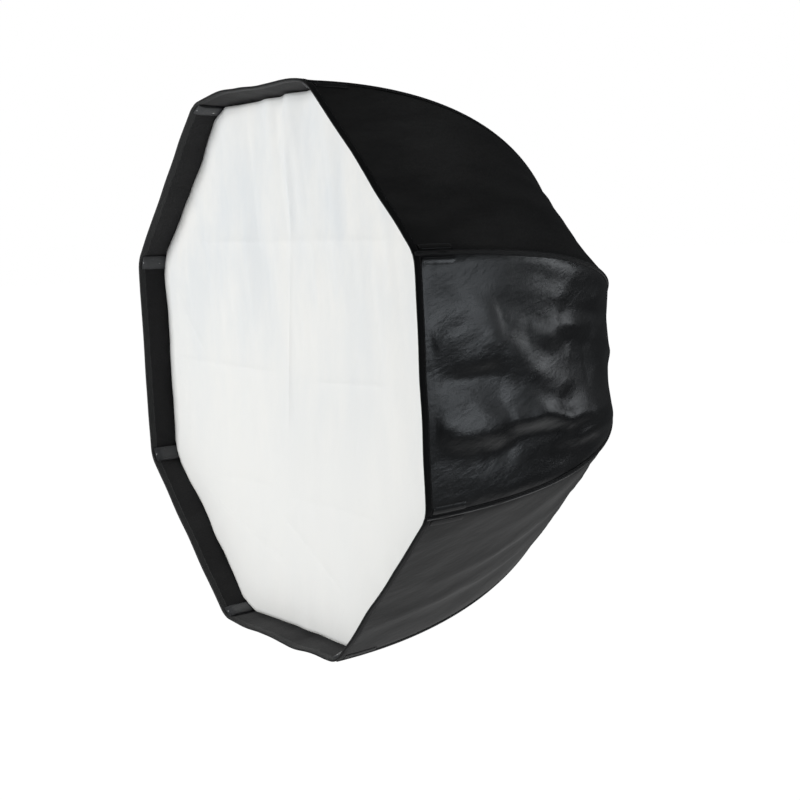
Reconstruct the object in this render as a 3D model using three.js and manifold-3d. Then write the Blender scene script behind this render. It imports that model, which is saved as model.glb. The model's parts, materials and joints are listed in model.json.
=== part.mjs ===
// Octagonal umbrella-frame softbox for a studio flash, in millimetres.
//
// Frame: +Z up, the mouth faces -Y, the lamp head joins from +Y. The origin is the centre of the
// bayonet flange's rear face, on the optical axis. "Depth" is measured forward from that face.
//
// Most pieces repeat eight times round the axis. A piece that belongs to a rib is drawn in the
// rib's own frame: X outward along the rib's plane, Y = -depth, Z sideways. A piece between two
// ribs is drawn in the same way about the middle of its gore.

import * as THREE from 'three';
import { mergeVertices } from 'three/addons/utils/BufferGeometryUtils.js';
import Module from 'manifold-3d';

const wasm = await Module();
wasm.setup();

// ---- Driving dimensions ----------------------------------------------------------------------

const SIDES = 8;
const STEP = (2 * Math.PI) / SIDES;
const HALF = STEP / 2;
const GAP = 0.35; // clearance between pieces that touch

const MOUTH_RADIUS = 400; // centre to corner, outside the fabric
const MOUTH_DEPTH = 530; // flange face to front hem
const FABRIC = 1.6; // shell with its lining
const SHELL_RADIUS = 93; // where the gores end round the hub

const ROD_RADIUS = 2.5;
const ROD_INSET = 7; // rod centre below the outside of the shell
const HINGE_RADIUS = 66;
const HINGE_DEPTH = 31.5;
const RIB_SHOULDER = { depth: 72, radius: 318 }; // Bezier handles of the rib's bow
const RIB_CHEEK = { depth: 310, radius: 393 };
const FOLD_ANGLE = THREE.MathUtils.degToRad(35);

const WIRE_RADIUS = 1.5; // hinge wires through the eyes
const EYE_HOLE = 1.9;
const EYE_RADIUS = 4.6;
const EYE_WIDTH = 5;

const CLIP_REACH = 50; // hinge to stretcher clip, along the rib
const CLIP_DROP = 11; // pivot below the rod's centre
const STRETCHER_LENGTH = 60;
const STRETCHER_SIDE = 4.2; // its middle plane beside the rib's plane
const STRETCHER_THICK = 2.4;
const STRETCHER_WIDTH = 8;
const RUNNER_PIVOT_RADIUS = 62;

const THROAT_RADIUS = 49;
const FLANGE_RADIUS = 75;
const FLANGE_THICK = 6;
const NECK_RADIUS = 53;
const NECK_WALL = 3;
const HUB_BORE = NECK_RADIUS + 0.4;
const HUB_RADIUS = 80;
const HUB_FRONT = 41.6;
const HOUSING_RADIUS = 82;
const HOUSING_FRONT = 21.3;
const RUNNER_RADIUS = 71;
const RUNNER_LENGTH = 15;

const BUTTON_DEPTH = { rear: 10.5, front: 15.5 };
const BUTTON_HALF_WIDTH = 9.5;
const BUTTON_TRAVEL = 3.2;
const FINGER = { inner: 57.5, thinned: 60, outer: 62, halfWidth: 5, rear: 7.5 };

const LIP_DEPTH = 38; // front hem to the recessed diffuser
const TAPE = { rear: 467, front: 522, thick: 1.4 };
const POCKET = { rear: 486, front: 529.5, halfWidth: 11, drop: 11.5 };
const DIFFUSER_FLANGE = 24; // turned-back edge of the cloth
const DIFFUSER_FACE = MOUTH_DEPTH - LIP_DEPTH;

// ---- Finishes --------------------------------------------------------------------------------

const finish = (color, roughness, metalness) =>
  new THREE.MeshStandardMaterial({ color, roughness, metalness });
const FINISHES = {
  shell: () => finish(0x16181b, 0.55, 0),
  diffuser: () => finish(0xf2f3f0, 0.85, 0),
  tape: () => finish(0x0d0d0e, 0.95, 0),
  pocket: () => finish(0x3c3e42, 0.5, 0),
  cuff: () => finish(0x101113, 0.8, 0),
  rod: () => finish(0x8f9498, 0.35, 0.9),
  steel: () => finish(0xa9adb0, 0.3, 1),
  aluminium: () => finish(0xc4c7ca, 0.35, 1),
  hub: () => finish(0x17181a, 0.5, 0),
  button: () => finish(0x8e1f1c, 0.45, 0),
};

// ---- Small tools -----------------------------------------------------------------------------

function toSolid(geometry) {
  const bare = geometry.clone();
  bare.deleteAttribute('normal');
  bare.deleteAttribute('uv');
  const merged = mergeVertices(bare, 1e-4);
  return new wasm.Manifold(new wasm.Mesh({
    numProp: 3,
    vertProperties: new Float32Array(merged.attributes.position.array),
    triVerts: new Uint32Array(merged.index.array),
  }));
}

function toGeometry(solid) {
  const { vertProperties, triVerts } = solid.getMesh();
  const geometry = new THREE.BufferGeometry();
  geometry.setAttribute('position', new THREE.BufferAttribute(vertProperties, 3));
  geometry.setIndex(new THREE.BufferAttribute(triVerts, 1));
  return geometry;
}

const cut = (body, ...tools) =>
  toGeometry(tools.reduce((solid, tool) => solid.subtract(toSolid(tool)), toSolid(body)));
const join = (body, ...others) =>
  toGeometry(others.reduce((solid, other) => solid.add(toSolid(other)), toSolid(body)));

// A ring about the optical axis between two depths.
function ring(inner, outer, rear, front, segments = 36) {
  const section = [[inner, -front], [outer, -front], [outer, -rear], [inner, -rear], [inner, -front]];
  return new THREE.LatheGeometry(section.map(([x, y]) => new THREE.Vector2(x, y)), segments);
}

// A block given by its outward reach, its depth and its sideways extent, turned to an angle.
function block(reach, depth, side, angle = 0) {
  const geometry = new THREE.BoxGeometry(reach[1] - reach[0], depth[1] - depth[0], side[1] - side[0]);
  geometry.translate((reach[0] + reach[1]) / 2, -(depth[0] + depth[1]) / 2, (side[0] + side[1]) / 2);
  return geometry.rotateY(-angle);
}

// A short cylinder lying sideways, across the rib's plane.
function crossPin(radius, at, side, segments = 10) {
  const geometry = new THREE.CylinderGeometry(radius, radius, side[1] - side[0], segments);
  return geometry.rotateX(Math.PI / 2).translate(at.radius, -at.depth, (side[0] + side[1]) / 2);
}

// An eight-sided ring of wire whose straight sides have their middles at the ribs.
function octagonWire(apothem, depth, radius) {
  const geometry = new THREE.TorusGeometry(apothem / Math.cos(HALF), radius, 8, SIDES);
  return geometry.rotateX(Math.PI / 2).translate(0, -depth, 0);
}

const ribAngle = (k) => HALF + k * STEP;
const goreAngle = (k) => ribAngle(k) + HALF;

// ---- The rib's bow and the linkage -----------------------------------------------------------

const bow = new THREE.CubicBezierCurve(
  new THREE.Vector2(HINGE_DEPTH, HINGE_RADIUS),
  new THREE.Vector2(RIB_SHOULDER.depth, RIB_SHOULDER.radius),
  new THREE.Vector2(RIB_CHEEK.depth, RIB_CHEEK.radius),
  new THREE.Vector2(MOUTH_DEPTH, MOUTH_RADIUS - ROD_INSET),
);

// A point of the bow moved outward, square to it.
function bowPoint(t, outward = 0) {
  const at = bow.getPoint(t);
  const along = bow.getTangent(t);
  return { depth: at.x - along.y * outward, radius: at.y + along.x * outward };
}

// The place on the bow, moved outward, where a rising measure reaches a value.
function bowWhere(measure, value, outward = 0) {
  let low = 0;
  let high = 1;
  for (let i = 0; i < 40; i += 1) {
    const middle = (low + high) / 2;
    if (measure(bowPoint(middle, outward)) < value) low = middle;
    else high = middle;
  }
  return low;
}

const fromHinge = (p) => Math.hypot(p.depth - HINGE_DEPTH, p.radius - HINGE_RADIUS);
const byDepth = (p) => p.depth;
const clipAt = bowWhere(fromHinge, CLIP_REACH);
const clipPivot = bowPoint(clipAt, -CLIP_DROP);

// Depth of the runner's pivots when the stretchers meet a clip pivot at the given place.
const runnerDepthFor = (pivot) =>
  pivot.depth + Math.sqrt(STRETCHER_LENGTH ** 2 - (pivot.radius - RUNNER_PIVOT_RADIUS) ** 2);

function foldedPivot() {
  const turned = Math.atan2(clipPivot.radius - HINGE_RADIUS, clipPivot.depth - HINGE_DEPTH) - FOLD_ANGLE;
  const reach = fromHinge(clipPivot);
  return {
    depth: HINGE_DEPTH + reach * Math.cos(turned),
    radius: HINGE_RADIUS + reach * Math.sin(turned),
  };
}

const runnerDepth = runnerDepthFor(clipPivot);
const runnerTravel = runnerDepthFor(foldedPivot()) - runnerDepth;
const runnerRear = runnerDepth - RUNNER_LENGTH / 2;
const runnerFront = runnerDepth + RUNNER_LENGTH / 2;
const neckFront = runnerFront + runnerTravel + 4;

// The stretch of the bow between two parameters, as a path in a rib's plane.
class BowPath extends THREE.Curve {
  constructor(start, end, outward = 0) {
    super();
    Object.assign(this, { start, end, outward });
  }

  getPoint(u, target = new THREE.Vector3()) {
    const p = bowPoint(this.start + (this.end - this.start) * u, this.outward);
    return target.set(p.radius, -p.depth, 0);
  }
}

function circleShape(radius, hole = 0) {
  const shape = new THREE.Shape();
  shape.absarc(0, 0, radius, 0, 2 * Math.PI);
  if (hole > 0) shape.holes.push(new THREE.Path().absarc(0, 0, hole, 0, 2 * Math.PI, true));
  return shape;
}

function alongBow(shape, start, end, steps, curveSegments) {
  const options = { steps, curveSegments, extrudePath: new BowPath(start, end), bevelEnabled: false };
  return new THREE.ExtrudeGeometry(shape, options);
}

// ---- Mount and hub ---------------------------------------------------------------------------

function bayonetRing() {
  const flange = ring(THROAT_RADIUS, FLANGE_RADIUS, 0, FLANGE_THICK, 40);
  const collar = ring(THROAT_RADIUS, 52, -11, 1, 40);
  const lugShape = new THREE.Shape();
  const lugHalf = THREE.MathUtils.degToRad(20);
  lugShape.absarc(0, 0, 57.5, -lugHalf, lugHalf);
  lugShape.absarc(0, 0, 51, lugHalf, -lugHalf, true);
  const lugs = [0, 1, 2].map((i) => {
    const lug = new THREE.ExtrudeGeometry(lugShape, { depth: 4.5, curveSegments: 3, bevelEnabled: false });
    return lug.rotateX(-Math.PI / 2).translate(0, 5.5, 0).rotateY(Math.PI / 2 + (i * 2 * Math.PI) / 3);
  });
  return join(flange, collar, ...lugs);
}

function neckTube() {
  const bore = NECK_RADIUS - NECK_WALL;
  const tube = ring(bore, NECK_RADIUS, FLANGE_THICK + GAP, neckFront + 4);
  const stop = ring(NECK_RADIUS - 1, NECK_RADIUS + 3.5, neckFront, neckFront + 4);
  return join(tube, stop);
}

// The rear collar: it carries the two latch buttons and shuts the hub's hinge groove.
function latchHousing() {
  const body = ring(HUB_BORE, HOUSING_RADIUS, FLANGE_THICK + GAP, HOUSING_FRONT);
  const depth = [BUTTON_DEPTH.rear - 0.4, BUTTON_DEPTH.front + 0.4];
  const width = BUTTON_HALF_WIDTH + 0.4;
  const slots = [0, Math.PI].flatMap((angle) => [
    block([HUB_BORE - 3, HOUSING_RADIUS + 3], depth, [-width, width], angle),
    fingerSlot(FINGER.rear - 0.5, HOUSING_FRONT + 1, angle),
  ]);
  return cut(body, ...slots);
}

function fingerSlot(rear, front, angle) {
  const side = FINGER.halfWidth + 0.6;
  return block([FINGER.inner - 0.4, FINGER.outer + 0.4], [rear, front], [-side, side], angle);
}

function hubRing() {
  const rear = HOUSING_FRONT + GAP;
  const body = ring(HUB_BORE, HUB_RADIUS, rear, HUB_FRONT);
  const groove = [];
  const slots = [];
  for (let k = 0; k < SIDES; k += 1) {
    const run = HINGE_RADIUS * Math.tan(HALF) + 1.5;
    const reach = [HINGE_RADIUS - 2, HINGE_RADIUS + 2];
    groove.push(block(reach, [rear - 1, HINGE_DEPTH + 2], [-run, run], ribAngle(k)));
    slots.push(block([60.5, HUB_RADIUS + 3], [HINGE_DEPTH - 5.2, HUB_FRONT + 1], [-3.2, 3.2], ribAngle(k)));
  }
  const fingers = [0, Math.PI].map((angle) => fingerSlot(rear - 1, HUB_FRONT + 1, angle));
  return cut(body, ...groove, ...slots, ...fingers);
}

// A finger that guides the runner. It is thinned where it passes through a button's window.
function latchFinger(angle) {
  const side = [-FINGER.halfWidth, FINGER.halfWidth];
  const bar = block([FINGER.inner, FINGER.outer], [FINGER.rear, runnerRear + 1], side, angle);
  const thinned = block(
    [FINGER.inner - 1, FINGER.thinned], [FINGER.rear - 1, BUTTON_DEPTH.front + 0.4], [-9, 9], angle,
  );
  return cut(bar, thinned);
}

function runnerRing() {
  const body = join(
    ring(HUB_BORE, RUNNER_RADIUS, runnerRear, runnerFront), latchFinger(0), latchFinger(Math.PI),
  );
  const tools = [];
  for (let k = 0; k < SIDES; k += 1) {
    const run = RUNNER_PIVOT_RADIUS * Math.tan(HALF) + 1.5;
    const reach = [RUNNER_PIVOT_RADIUS - 2, RUNNER_PIVOT_RADIUS + 2];
    tools.push(block(reach, [runnerDepth - 2, runnerFront + 1], [-run, run], ribAngle(k)));
    const side = [STRETCHER_SIDE - 1.9, STRETCHER_SIDE + 1.9];
    tools.push(block([56.8, RUNNER_RADIUS + 3], [runnerRear - 1, runnerFront + 1], side, ribAngle(k)));
  }
  return cut(body, ...tools);
}

function releaseButton(angle) {
  const half = BUTTON_HALF_WIDTH;
  const tip = 86;
  const shape = new THREE.Shape();
  shape.moveTo(56.6, -half);
  shape.lineTo(tip - 4, -half);
  shape.quadraticCurveTo(tip, -half, tip, -half + 4);
  shape.lineTo(tip, half - 4);
  shape.quadraticCurveTo(tip, half, tip - 4, half);
  shape.lineTo(56.6, half);
  shape.closePath();
  const window = new THREE.Path();
  const clear = FINGER.outer + BUTTON_TRAVEL + 0.8;
  window.moveTo(59.7, -6.5);
  window.lineTo(59.7, 6.5);
  window.lineTo(clear, 6.5);
  window.lineTo(clear, -6.5);
  window.closePath();
  shape.holes.push(window);
  const depth = BUTTON_DEPTH.front - BUTTON_DEPTH.rear;
  const plate = new THREE.ExtrudeGeometry(shape, { depth, curveSegments: 5, bevelEnabled: false });
  return plate.rotateX(Math.PI / 2).translate(0, -BUTTON_DEPTH.rear, 0).rotateY(-angle);
}

// ---- Ribs, clips and stretchers --------------------------------------------------------------

function rib() {
  const hinge = { depth: HINGE_DEPTH, radius: HINGE_RADIUS };
  const side = [-EYE_WIDTH / 2, EYE_WIDTH / 2];
  const start = bowWhere(fromHinge, 3.2);
  const end = bowWhere(byDepth, POCKET.front - 3);
  const rod = join(crossPin(EYE_RADIUS, hinge, side), alongBow(circleShape(ROD_RADIUS), start, end, 16, 4));
  return cut(rod, crossPin(EYE_HOLE, hinge, [side[0] - 1, side[1] + 1], 8));
}

function ribClip() {
  const start = bowWhere(fromHinge, CLIP_REACH - 8);
  const end = bowWhere(fromHinge, CLIP_REACH + 8);
  const sleeve = alongBow(circleShape(4.5), start, end, 1, 5);
  const top = bowPoint(clipAt, 0);
  const lug = new THREE.BoxGeometry(9, CLIP_DROP, 2.6).translate(0, -CLIP_DROP / 2, 0);
  lug.rotateZ(Math.atan2(clipPivot.radius - top.radius, clipPivot.depth - top.depth));
  lug.translate(top.radius, -top.depth, 0);
  const body = join(sleeve, lug, crossPin(4.5, clipPivot, [-1.3, 1.3]));
  const [before, after] = [-12, 12].map((shift) => bowWhere(fromHinge, CLIP_REACH + shift));
  const bore = alongBow(circleShape(ROD_RADIUS + GAP + 0.2), before, after, 1, 4);
  return cut(body, bore, crossPin(EYE_HOLE, clipPivot, [-3, 3], 8));
}

// A flat bar from the runner's wire to the rib's clip. Its rivet stops just short of the clip,
// where the closed linkage is left open.
function stretcher() {
  const foot = { depth: runnerDepth, radius: RUNNER_PIVOT_RADIUS };
  const half = STRETCHER_WIDTH / 2;
  const shape = new THREE.Shape();
  shape.absarc(0, 0, half, Math.PI / 2, 1.5 * Math.PI);
  shape.absarc(STRETCHER_LENGTH, 0, half, -Math.PI / 2, Math.PI / 2);
  shape.holes.push(new THREE.Path().absarc(0, 0, EYE_HOLE, 0, 2 * Math.PI, true));
  const bar = new THREE.ExtrudeGeometry(
    shape, { depth: STRETCHER_THICK, curveSegments: 4, bevelEnabled: false },
  );
  bar.translate(0, 0, STRETCHER_SIDE - STRETCHER_THICK / 2);
  bar.rotateZ(Math.atan2(foot.depth - clipPivot.depth, clipPivot.radius - foot.radius));
  bar.translate(foot.radius, -foot.depth, 0);
  return join(bar, crossPin(2.4, clipPivot, [1.65, STRETCHER_SIDE + STRETCHER_THICK / 2 + 1.2], 8));
}

// ---- Soft pieces, as plain closed solids -----------------------------------------------------

// A closed skin between two offsets of the bow, flat from rib to rib.
function goreSkin(start, end, steps, outside, inside, margin) {
  const positions = [];
  const index = [];
  for (let i = 0; i <= steps; i += 1) {
    const t = start + ((end - start) * i) / steps;
    const outer = bowPoint(t, outside);
    const inner = bowPoint(t, inside);
    for (const [p, sign] of [[outer, -1], [outer, 1], [inner, 1], [inner, -1]]) {
      positions.push(p.radius * Math.cos(HALF), -p.depth, sign * (p.radius * Math.sin(HALF) - margin));
    }
  }
  const quad = (a, b, c, d) => index.push(a, b, c, a, c, d);
  for (let i = 0; i < steps; i += 1) {
    const here = 4 * i;
    for (let side = 0; side < 4; side += 1) {
      const next = (side + 1) % 4;
      quad(here + side, here + next, here + 4 + next, here + 4 + side);
    }
  }
  const last = 4 * steps;
  quad(3, 2, 1, 0);
  quad(last, last + 1, last + 2, last + 3);
  const geometry = new THREE.BufferGeometry();
  geometry.setAttribute('position', new THREE.BufferAttribute(new Float32Array(positions), 3));
  geometry.setIndex(index);
  return geometry;
}

function shellPanel() {
  const start = bowWhere((p) => p.radius, SHELL_RADIUS, ROD_INSET);
  return goreSkin(start, 1, 14, ROD_INSET, ROD_INSET - FABRIC, 0.3);
}

function lipTape() {
  const outside = ROD_INSET - FABRIC - GAP;
  const start = bowWhere(byDepth, TAPE.rear);
  const end = bowWhere(byDepth, TAPE.front);
  return goreSkin(start, end, 2, outside, outside - TAPE.thick, 14);
}

// A sewn pocket that holds the rod's tip in the corner of the mouth.
function cornerPocket() {
  const { halfWidth: w, drop } = POCKET;
  const roof = -(FABRIC + GAP + 0.1) + ROD_INSET;
  const eave = roof - w * Math.tan(HALF);
  const floor = ROD_INSET - drop;
  const section = new THREE.Shape();
  for (const [side, up] of [[0, roof], [-w, eave], [-w, floor], [w, floor], [w, eave]]) {
    section[side === 0 ? 'moveTo' : 'lineTo'](up, side);
  }
  section.closePath();
  const rear = bowPoint(bowWhere(byDepth, POCKET.rear));
  const front = bowPoint(bowWhere(byDepth, POCKET.front));
  const length = Math.hypot(front.depth - rear.depth, front.radius - rear.radius);
  const sleeve = new THREE.ExtrudeGeometry(section, { depth: length, bevelEnabled: false });
  sleeve.rotateX(Math.PI / 2);
  sleeve.rotateZ(-Math.atan2(rear.radius - front.radius, front.depth - rear.depth));
  sleeve.translate(rear.radius, -rear.depth, 0);
  const [before, after] = [POCKET.rear - 6, POCKET.front - 2].map((depth) => bowWhere(byDepth, depth));
  return cut(sleeve, alongBow(circleShape(ROD_RADIUS + GAP), before, after, 1, 4));
}

// An octagon with its corners taken off, so that it clears the corner pockets.
function clippedOctagon(apothem, reach) {
  const corner = apothem / Math.cos(HALF);
  const side = (corner - reach) / Math.tan(HALF);
  const points = [];
  for (let k = 0; k < SIDES; k += 1) {
    for (const sign of [-1, 1]) {
      const angle = ribAngle(k);
      points.push(new THREE.Vector2(
        reach * Math.cos(angle) - sign * side * Math.sin(angle),
        reach * Math.sin(angle) + sign * side * Math.cos(angle),
      ));
    }
  }
  return points;
}

// The outline of the white front cloth and of the hook tape behind its edge, moved inward by a distance.
function diffuserOutline(inward) {
  const hem = bowWhere(byDepth, DIFFUSER_FACE - DIFFUSER_FLANGE);
  const tape = bowPoint(hem, ROD_INSET - FABRIC - GAP - TAPE.thick);
  const pocket = bowPoint(hem, ROD_INSET - POCKET.drop);
  const apothem = tape.radius * Math.cos(HALF) - 0.6 - inward;
  return new THREE.Shape(clippedOctagon(apothem, pocket.radius - 1 - inward));
}

function diffuserSlab(inward, rear, front) {
  const slab = new THREE.ExtrudeGeometry(diffuserOutline(inward), { depth: front - rear, bevelEnabled: false });
  return slab.rotateX(Math.PI / 2).translate(0, -rear, 0);
}

// The white front cloth, recessed behind the lip.
function frontDiffuser() {
  return diffuserSlab(0, DIFFUSER_FACE - FABRIC, DIFFUSER_FACE);
}

// The band of hook tape along the cloth's edge, turned back onto the lip's loop tape.
function diffuserHookTape() {
  const [rear, front] = [DIFFUSER_FACE - DIFFUSER_FLANGE, DIFFUSER_FACE - FABRIC - GAP];
  return cut(diffuserSlab(0, rear, front), diffuserSlab(FABRIC, rear - 1, front + 1));
}

// A bound ring of fabric that holds the gores' rear edges round the hub.
function rearCuff() {
  const section = [[82.6, -24], [104, -25], [104, -23.2], [82.6, -21.8]];
  section.push(section[0]);
  return new THREE.LatheGeometry(section.map(([x, y]) => new THREE.Vector2(x, y)), 32);
}

// ---- Assembly --------------------------------------------------------------------------------

const octabox = new THREE.Group();

function place(name, geometry, material, angle = 0) {
  const mesh = new THREE.Mesh(geometry, material());
  mesh.name = name;
  const holder = new THREE.Group();
  holder.rotation.y = -angle;
  holder.add(mesh);
  octabox.add(holder);
}

place('bayonet_ring', bayonetRing(), FINISHES.aluminium);
place('neck_tube', neckTube(), FINISHES.aluminium);
place('latch_housing', latchHousing(), FINISHES.hub);
place('hub_ring', hubRing(), FINISHES.hub);
place('runner_ring', runnerRing(), FINISHES.hub);
place('rib_hinge_wire', octagonWire(HINGE_RADIUS, HINGE_DEPTH, WIRE_RADIUS), FINISHES.steel);
place('stretcher_hinge_wire', octagonWire(RUNNER_PIVOT_RADIUS, runnerDepth, WIRE_RADIUS), FINISHES.steel);
place('release_button_right', releaseButton(0), FINISHES.button);
place('release_button_left', releaseButton(Math.PI), FINISHES.button);
place('rear_cuff', rearCuff(), FINISHES.cuff);
place('front_diffuser', frontDiffuser(), FINISHES.diffuser);
place('diffuser_hook_tape', diffuserHookTape(), FINISHES.diffuser);

for (let k = 0; k < SIDES; k += 1) {
  place(`rib_${k + 1}`, rib(), FINISHES.rod, ribAngle(k));
  place(`rib_clip_${k + 1}`, ribClip(), FINISHES.hub, ribAngle(k));
  place(`stretcher_${k + 1}`, stretcher(), FINISHES.steel, ribAngle(k));
  place(`corner_pocket_${k + 1}`, cornerPocket(), FINISHES.pocket, ribAngle(k));
  place(`shell_panel_${k + 1}`, shellPanel(), FINISHES.shell, goreAngle(k));
  place(`lip_tape_${k + 1}`, lipTape(), FINISHES.tape, goreAngle(k));
}

export default octabox;
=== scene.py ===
"""Looks of the octagonal softbox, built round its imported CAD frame. Metres, +Z up, mouth toward -Y.

Each cloth is drawn once as a whole and then cut into pieces, so that every piece can follow its rib
and gather with the fold. The cuts don't show at rest, because a piece keeps the whole cloth's normals.
"""
import json
import math

import bmesh
import bpy
import numpy as np
from mathutils import Matrix, Vector, noise


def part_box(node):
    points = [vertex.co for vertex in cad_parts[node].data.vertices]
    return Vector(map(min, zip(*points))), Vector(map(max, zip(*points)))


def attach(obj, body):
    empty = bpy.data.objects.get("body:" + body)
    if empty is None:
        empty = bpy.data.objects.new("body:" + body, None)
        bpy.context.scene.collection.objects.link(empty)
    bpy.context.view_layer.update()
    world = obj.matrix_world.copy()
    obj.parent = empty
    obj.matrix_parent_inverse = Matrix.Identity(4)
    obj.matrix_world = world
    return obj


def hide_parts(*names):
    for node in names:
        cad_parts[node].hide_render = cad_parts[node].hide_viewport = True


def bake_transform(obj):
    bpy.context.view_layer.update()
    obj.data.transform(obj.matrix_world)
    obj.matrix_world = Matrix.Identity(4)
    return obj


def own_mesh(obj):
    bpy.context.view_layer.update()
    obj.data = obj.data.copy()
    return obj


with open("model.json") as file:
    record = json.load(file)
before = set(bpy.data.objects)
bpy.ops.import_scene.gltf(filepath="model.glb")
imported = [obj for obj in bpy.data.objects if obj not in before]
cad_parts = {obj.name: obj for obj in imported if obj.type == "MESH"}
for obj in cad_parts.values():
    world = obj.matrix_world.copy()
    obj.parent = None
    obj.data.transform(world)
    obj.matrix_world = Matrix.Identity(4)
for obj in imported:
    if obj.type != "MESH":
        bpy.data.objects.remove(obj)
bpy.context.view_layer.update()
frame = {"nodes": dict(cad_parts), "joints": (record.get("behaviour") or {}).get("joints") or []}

# ---- Driving sizes, from the frame where it has them ----

MM = 0.001
SIDES = 8
STEP = 2 * math.pi / SIDES
HALF = STEP / 2
TAN, COS, SIN = math.tan(HALF), math.cos(HALF), math.sin(HALF)

JOINTS = {joint["name"]: joint for joint in frame["joints"]}
HINGE = JOINTS["rib_hinge_1"]["pos_m"]
HINGE_DEPTH, HINGE_RADIUS = -HINGE[1], math.hypot(HINGE[0], HINGE[2])
MOUTH_DEPTH = 530 * MM
MOUTH_RADIUS = 400 * MM
ROD_INSET = 7 * MM  # rod centre below the outside of the shell
BOW_HANDLES = ((0.0812, 0.7706), (0.5587, 1.0))  # shares of the way from the hinge to the mouth
SHELL_START = 93 * MM  # radius where the gores end round the hub
BLEND_END = 128 * MM  # radius where the gores start to follow the ribs alone
CLOTH = 1.1 * MM
FORWARD = np.array([0.0, -1.0, 0.0])  # toward the mouth
FACE_DEPTH = -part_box("front_diffuser")[0].y
TAPE_DEPTH = [-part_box("lip_tape_8")[1].y, -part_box("lip_tape_8")[0].y]
HOOK_REAR = -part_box("diffuser_hook_tape")[1].y

GORE_ROWS = 132  # cells from hub to mouth
GORE_COLUMNS = 40  # cells from rib to rib
SEGMENTS = 7  # pieces of a half gore that gather with the fold
FLAP_CELLS = 2  # cells that a piece runs on under the next one
FLAP_DROP = 1.2 * MM  # and how far under it
ROUNDED = 13 * MM  # beside a rib, where the cloth starts to curve over it
GLOSSY_PANELS = (4, 8)  # the two side gores are cut from a glossier cloth
BOW_TURN = 200 * MM  # depth that parts the rear of the bow, which faces back, from its side
EDGE_COLUMNS = 41  # points along half of a gore's front edge


def rib_angle(k):
    return HALF + (k - 1) * STEP


def directions(angle):
    """Outward and sideways unit vectors in the plane of the mouth."""
    outward = np.array([math.cos(angle), 0.0, math.sin(angle)])
    sideways = np.array([-math.sin(angle), 0.0, math.cos(angle)])
    return outward, sideways


def unit(vectors):
    """The vectors along the last axis, brought to length one."""
    return vectors / np.maximum(np.linalg.norm(vectors, axis=-1, keepdims=True), 1e-12)


# ---- The rib's bow ----

def bow(t, outward=0.0):
    """(depth, radius) of the bow at t, moved outward by a distance, and its normal there."""
    a, d = np.array([HINGE_DEPTH, HINGE_RADIUS]), np.array([MOUTH_DEPTH, MOUTH_RADIUS - ROD_INSET])
    b, c = (a + (d - a) * np.array(handle) for handle in BOW_HANDLES)
    t = np.asarray(t, float)[..., None]
    point = (1 - t) ** 3 * a + 3 * (1 - t) ** 2 * t * b + 3 * (1 - t) * t * t * c + t ** 3 * d
    along = unit((1 - t) ** 2 * (b - a) + 2 * (1 - t) * t * (c - b) + t * t * (d - c))
    normal = np.stack([-along[..., 1], along[..., 0]], -1)
    return point + normal * np.asarray(outward)[..., None], normal


def skin_at(t):
    """(depth, radius) of the outside of the shell over a rib."""
    return bow(t, ROD_INSET)[0]


BOW_T = np.linspace(0, 1, 4001)
BOW_SKIN = skin_at(BOW_T)
BOW_LENGTH = np.concatenate([[0], np.cumsum(np.linalg.norm(np.diff(BOW_SKIN, axis=0), axis=1))])
SKIN_END = float(BOW_LENGTH[-1])


def t_at_radius(radius):
    rear = BOW_SKIN[:, 0] < BOW_TURN
    return float(np.interp(radius, BOW_SKIN[rear, 1], BOW_T[rear]))


def t_at_depth(depth):
    front = BOW_SKIN[:, 1] > 0.2
    return np.interp(depth, BOW_SKIN[front, 0], BOW_T[front])


def length_at(t):
    return np.interp(t, BOW_T, BOW_LENGTH)


def t_before_mouth(distance):
    """The bow's t at a distance in mm back from the mouth's edge, along the skin."""
    return np.interp(SKIN_END - np.asarray(distance) * MM, BOW_LENGTH, BOW_T)


def even_t(start, end, count):
    return np.interp(np.linspace(length_at(start), length_at(end), count), BOW_LENGTH, BOW_T)


GORE_TS = even_t(t_at_radius(SHELL_START), 1.0, GORE_ROWS + 1)
BLEND_ROW = int(np.argmin(abs(skin_at(GORE_TS)[:, 1] - BLEND_END)))
CUTS = np.linspace(BLEND_ROW, GORE_ROWS, SEGMENTS + 1).round().astype(int)
LIP_SPAN = (GORE_TS[CUTS[-2]], GORE_TS[CUTS[-1]])  # the foremost piece of each half gore


# ---- Mesh tools ----

def link(name, data):
    thing = bpy.data.objects.new(name, data)
    bpy.context.scene.collection.objects.link(thing)
    return thing


def collect(name, mesh, *materials):
    piece = link(name, mesh)
    for material in materials:
        mesh.materials.append(MATERIALS[material])
    return piece


def grid_quads(rows, columns, offset, flip):
    """Quads of a grid of vertices, as an index array."""
    index = np.arange(rows * columns).reshape(rows, columns) + offset
    a, b, c, d = index[:-1, :-1], index[:-1, 1:], index[1:, 1:], index[1:, :-1]
    order = (a, d, c, b) if flip else (a, b, c, d)
    return np.stack([corner.ravel() for corner in order], 1)


def grid_normals(points, toward):
    """Unit normals of a grid of points, on the side that 'toward' points to."""
    normal = unit(np.cross(np.gradient(points, axis=0), np.gradient(points, axis=1)))
    return normal if (normal * toward).sum() > 0 else -normal


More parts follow.
